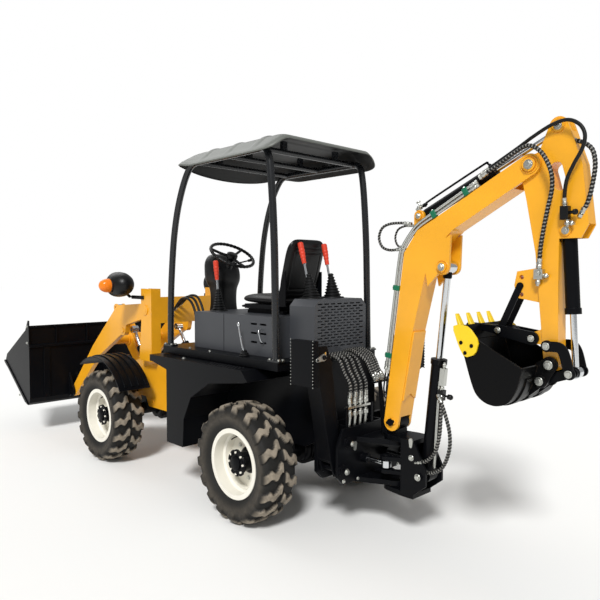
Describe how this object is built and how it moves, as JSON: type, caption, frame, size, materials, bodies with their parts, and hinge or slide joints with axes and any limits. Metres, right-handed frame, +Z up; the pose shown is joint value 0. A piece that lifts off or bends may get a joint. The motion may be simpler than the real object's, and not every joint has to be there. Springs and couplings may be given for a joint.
{
  "type": "backhoe loader",
  "caption": "Compact articulated backhoe loader with a canopy, a front bucket on lift arms, a folded rear digging arm with thumb, and folded stabilizers",
  "frame": {"origin": "middle of the bounding box on the ground", "axes": "+X forward, along the machine; +Y to its left; +Z up"},
  "size_m": [5.736, 1.54, 2.489],
  "materials": {
    "yellow_paint": "gloss enamel",
    "black_paint": "satin enamel",
    "charcoal_paint": "satin powder coat",
    "engine_iron": "plain cast",
    "core_aluminium": "finned core",
    "roof_panel": "moulded panel",
    "seat_vinyl": "grained cover",
    "black_plastic": "grained",
    "amber_plastic": "clear tinted",
    "rim_paint": "satin enamel",
    "tyre_rubber": "moulded rubber",
    "rod_chrome": "ground and plated",
    "pipe_steel": "zinc plated",
    "tooth_paint": "gloss enamel"
  },
  "bodies": {
    "chassis": {"rear_frame": "black_paint", "rear_axle": "black_paint", "engine": "engine_iron", "side_tank_left": "black_paint", "side_tank_right": "black_paint", "hood": "charcoal_paint", "radiator_hood": "charcoal_paint", "radiator": "core_aluminium", "canopy_posts": "charcoal_paint", "canopy_roof": "roof_panel", "seat": "seat_vinyl", "steering_console": "black_plastic", "control_levers": "black_plastic", "backhoe_frame": "black_paint"},
    "front_frame": {"front_frame": "yellow_paint", "front_axle": "black_paint", "front_fenders": "black_paint", "lamp_housings": "black_paint", "indicator_lenses": "amber_plastic"},
    "wheel_front_left": {"rim_front_left": "rim_paint", "tyre_front_left": "tyre_rubber"},
    "wheel_front_right": {"rim_front_right": "rim_paint", "tyre_front_right": "tyre_rubber"},
    "wheel_rear_left": {"rim_rear_left": "rim_paint", "tyre_rear_left": "tyre_rubber"},
    "wheel_rear_right": {"rim_rear_right": "rim_paint", "tyre_rear_right": "tyre_rubber"},
    "lift_arms": {"lift_arms": "yellow_paint"},
    "loader_bucket": {"loader_bucket": "black_paint"},
    "lift_barrels": {"lift_barrels": "black_paint"},
    "lift_rods": {"lift_rods": "rod_chrome"},
    "bellcrank": {"bellcrank": "yellow_paint"},
    "loader_link": {"loader_link": "black_paint"},
    "tilt_barrel": {"tilt_barrel": "black_paint"},
    "tilt_rod": {"tilt_rod": "rod_chrome"},
    "swing_post": {"swing_post": "black_paint"},
    "swing_rod_left": {"swing_rod_left": "rod_chrome"},
    "swing_rod_right": {"swing_rod_right": "rod_chrome"},
    "boom_barrel": {"boom_barrel": "black_paint"},
    "boom_rod": {"boom_rod": "rod_chrome"},
    "stick_barrel": {"stick_barrel": "black_paint"},
    "stick_rod": {"stick_rod": "rod_chrome"},
    "guide_links": {"guide_links": "black_paint"},
    "hoe_link": {"hoe_link": "black_paint"},
    "hoe_barrel": {"hoe_barrel": "black_paint"},
    "hoe_rod": {"hoe_rod": "rod_chrome"},
    "stab_leg_left": {"stab_leg_left": "black_paint"},
    "stab_leg_right": {"stab_leg_right": "black_paint"},
    "stab_barrel_left": {"stab_barrel_left": "black_paint"},
    "stab_barrel_right": {"stab_barrel_right": "black_paint"},
    "stab_rod_left": {"stab_rod_left": "rod_chrome"},
    "stab_rod_right": {"stab_rod_right": "rod_chrome"},
    "boom": {"boom": "yellow_paint", "boom_pipes": "pipe_steel"},
    "stick": {"stick": "yellow_paint", "thumb": "black_paint"},
    "hoe_bucket": {"hoe_bucket": "black_paint", "hoe_teeth": "tooth_paint"}
  },
  "joints": [
    {"name": "steering", "type": "hinge", "parent": "chassis", "child": "front_frame", "pos_m": [0.17, 0, 0.6], "axis": [0, 0, 1], "range_deg": [-35, 35]},
    {"name": "wheel_front_left", "type": "hinge", "parent": "front_frame", "child": "wheel_front_left", "pos_m": [0.93, 0.545, 0.385], "axis": [0, 1, 0], "continuous": true},
    {"name": "wheel_front_right", "type": "hinge", "parent": "front_frame", "child": "wheel_front_right", "pos_m": [0.93, -0.545, 0.385], "axis": [0, 1, 0], "continuous": true},
    {"name": "wheel_rear_left", "type": "hinge", "parent": "chassis", "child": "wheel_rear_left", "pos_m": [-0.93, 0.545, 0.385], "axis": [0, 1, 0], "continuous": true},
    {"name": "wheel_rear_right", "type": "hinge", "parent": "chassis", "child": "wheel_rear_right", "pos_m": [-0.93, -0.545, 0.385], "axis": [0, 1, 0], "continuous": true},
    {"name": "lift", "type": "hinge", "parent": "front_frame", "child": "lift_arms", "pos_m": [0.61, 0, 1.29], "axis": [0, -1, 0], "range_deg": [-8, 58]},
    {"name": "bucket_tilt", "type": "hinge", "parent": "lift_arms", "child": "loader_bucket", "pos_m": [2.09, 0, 0.395], "axis": [0, 1, 0], "range_deg": [0, 120]},
    {"name": "crank", "type": "hinge", "parent": "lift_arms", "child": "bellcrank", "pos_m": [1.52, 0, 0.96], "axis": [0, -1, 0], "range_deg": [-1, 62.56]},
    {"name": "link_turn", "type": "hinge", "parent": "bellcrank", "child": "loader_link", "pos_m": [1.32, 0, 0.72], "axis": [0, 1, 0], "range_deg": [-1, 78.04]},
    {"name": "tilt_cylinder", "type": "hinge", "parent": "lift_arms", "child": "tilt_barrel", "pos_m": [0.61, 0, 1.29], "axis": [0, -1, 0], "range_deg": [-1, 5.07]},
    {"name": "tilt_stroke", "type": "slide", "parent": "tilt_barrel", "child": "tilt_rod", "axis": [0.9994, 0, -0.0345], "range_m": [-0.3902, 0.004]},
    {"name": "lift_cylinders", "type": "hinge", "parent": "front_frame", "child": "lift_barrels", "pos_m": [0.63, 0, 0.5], "axis": [0, -1, 0], "range_deg": [-3.14, 16.54]},
    {"name": "lift_stroke", "type": "slide", "parent": "lift_barrels", "child": "lift_rods", "axis": [0.5799, 0, 0.8147], "range_m": [-0.0592, 0.4039]},
    {"name": "swing", "type": "hinge", "parent": "chassis", "child": "swing_post", "pos_m": [-1.73, 0, 0.45], "axis": [0, 0, -1], "range_deg": [-60, 60]},
    {"name": "swing_stroke_left", "type": "slide", "parent": "chassis", "child": "swing_rod_left", "axis": [1, 0, 0], "range_m": [-0.0906, 0.0906]},
    {"name": "swing_stroke_right", "type": "slide", "parent": "chassis", "child": "swing_rod_right", "axis": [1, 0, 0], "range_m": [-0.0906, 0.0906]},
    {"name": "boom_lift", "type": "hinge", "parent": "swing_post", "child": "boom", "pos_m": [-1.738, 0, 0.698], "axis": [0, -1, 0], "range_deg": [0, 80]},
    {"name": "boom_cylinder", "type": "hinge", "parent": "swing_post", "child": "boom_barrel", "pos_m": [-1.96, 0, 0.42], "axis": [0, -1, 0], "range_deg": [-1, 77.72]},
    {"name": "boom_stroke", "type": "slide", "parent": "boom_barrel", "child": "boom_rod", "axis": [-0.1024, 0, 0.9947], "range_m": [-0.4581, 0.004]},
    {"name": "stick_swing", "type": "hinge", "parent": "boom", "child": "stick", "pos_m": [-2.581, 0, 2.139], "axis": [0, 1, 0], "range_deg": [0, 100]},
    {"name": "stick_cylinder", "type": "hinge", "parent": "boom", "child": "stick_barrel", "pos_m": [-1.919, 0, 1.93], "axis": [0, 1, 0], "range_deg": [-1, 8.98]},
    {"name": "stick_stroke", "type": "slide", "parent": "stick_barrel", "child": "stick_rod", "axis": [-0.9024, 0, 0.4308], "range_m": [-0.322, 0.004]},
    {"name": "hoe_curl", "type": "hinge", "parent": "stick", "child": "hoe_bucket", "pos_m": [-2.698, 0, 1.15], "axis": [0, 1, 0], "range_deg": [0, 120]},
    {"name": "guide_turn", "type": "hinge", "parent": "stick", "child": "guide_links", "pos_m": [-2.691, 0, 1.243], "axis": [0, 1, 0], "range_deg": [-1, 70.73]},
    {"name": "hoe_link_turn", "type": "hinge", "parent": "hoe_bucket", "child": "hoe_link", "pos_m": [-2.653, 0, 1.064], "axis": [0, 1, 0], "range_deg": [-69.97, 1]},
    {"name": "hoe_cylinder", "type": "hinge", "parent": "stick", "child": "hoe_barrel", "pos_m": [-2.76, 0, 1.805], "axis": [0, 1, 0], "range_deg": [-1, 7.32]},
    {"name": "hoe_stroke", "type": "slide", "parent": "hoe_barrel", "child": "hoe_rod", "axis": [-0.061, 0, -0.9981], "range_m": [-0.1837, 0.004]},
    {"name": "stabilizer_left", "type": "hinge", "parent": "chassis", "child": "stab_leg_left", "pos_m": [-1.46, 0.3, 0.41], "axis": [-1, 0, 0], "range_deg": [0, 110]},
    {"name": "stab_cylinder_left", "type": "hinge", "parent": "chassis", "child": "stab_barrel_left", "pos_m": [-1.46, 0.25, 0.57], "axis": [-1, 0, 0], "range_deg": [-1, 111.77]},
    {"name": "stab_stroke_left", "type": "slide", "parent": "stab_barrel_left", "child": "stab_rod_left", "axis": [0, 0.2631, 0.9648], "range_m": [-0.004, 0.2789]},
    {"name": "stabilizer_right", "type": "hinge", "parent": "chassis", "child": "stab_leg_right", "pos_m": [-1.46, -0.3, 0.41], "axis": [1, 0, 0], "range_deg": [0, 110]},
    {"name": "stab_cylinder_right", "type": "hinge", "parent": "chassis", "child": "stab_barrel_right", "pos_m": [-1.46, -0.25, 0.57], "axis": [1, 0, 0], "range_deg": [-1, 111.77]},
    {"name": "stab_stroke_right", "type": "slide", "parent": "stab_barrel_right", "child": "stab_rod_right", "axis": [0, -0.2631, 0.9648], "range_m": [-0.004, 0.2789]}
  ],
  "couplings": [
    {"joint": "crank", "follows": "bucket_tilt", "ratio": 0.513},
    {"joint": "link_turn", "follows": "bucket_tilt", "ratio": 0.642},
    {"joint": "tilt_cylinder", "follows": "bucket_tilt", "ratio": 0.0339},
    {"joint": "tilt_stroke", "follows": "bucket_tilt", "m_per_rad": -0.1844},
    {"joint": "lift_cylinders", "follows": "lift", "ratio": 0.268},
    {"joint": "lift_stroke", "follows": "lift", "m_per_rad": 0.395},
    {"joint": "swing_stroke_left", "follows": "swing", "m_per_rad": 0.0827},
    {"joint": "swing_stroke_right", "follows": "swing", "m_per_rad": -0.0827},
    {"joint": "boom_cylinder", "follows": "boom_lift", "ratio": 0.959},
    {"joint": "boom_stroke", "follows": "boom_lift", "m_per_rad": -0.3252},
    {"joint": "stick_cylinder", "follows": "stick_swing", "ratio": 0.0798},
    {"joint": "stick_stroke", "follows": "stick_swing", "m_per_rad": -0.1822},
    {"joint": "guide_turn", "follows": "hoe_curl", "ratio": 0.58112},
    {"joint": "hoe_link_turn", "follows": "hoe_curl", "ratio": -0.57477},
    {"joint": "hoe_cylinder", "follows": "hoe_curl", "ratio": 0.05265},
    {"joint": "hoe_stroke", "follows": "hoe_curl", "m_per_rad": -0.08579},
    {"joint": "stab_cylinder_left", "follows": "stabilizer_left", "ratio": 1.007},
    {"joint": "stab_stroke_left", "follows": "stabilizer_left", "m_per_rad": 0.1432},
    {"joint": "stab_cylinder_right", "follows": "stabilizer_right", "ratio": 1.007},
    {"joint": "stab_stroke_right", "follows": "stabilizer_right", "m_per_rad": 0.1432}
  ]
}
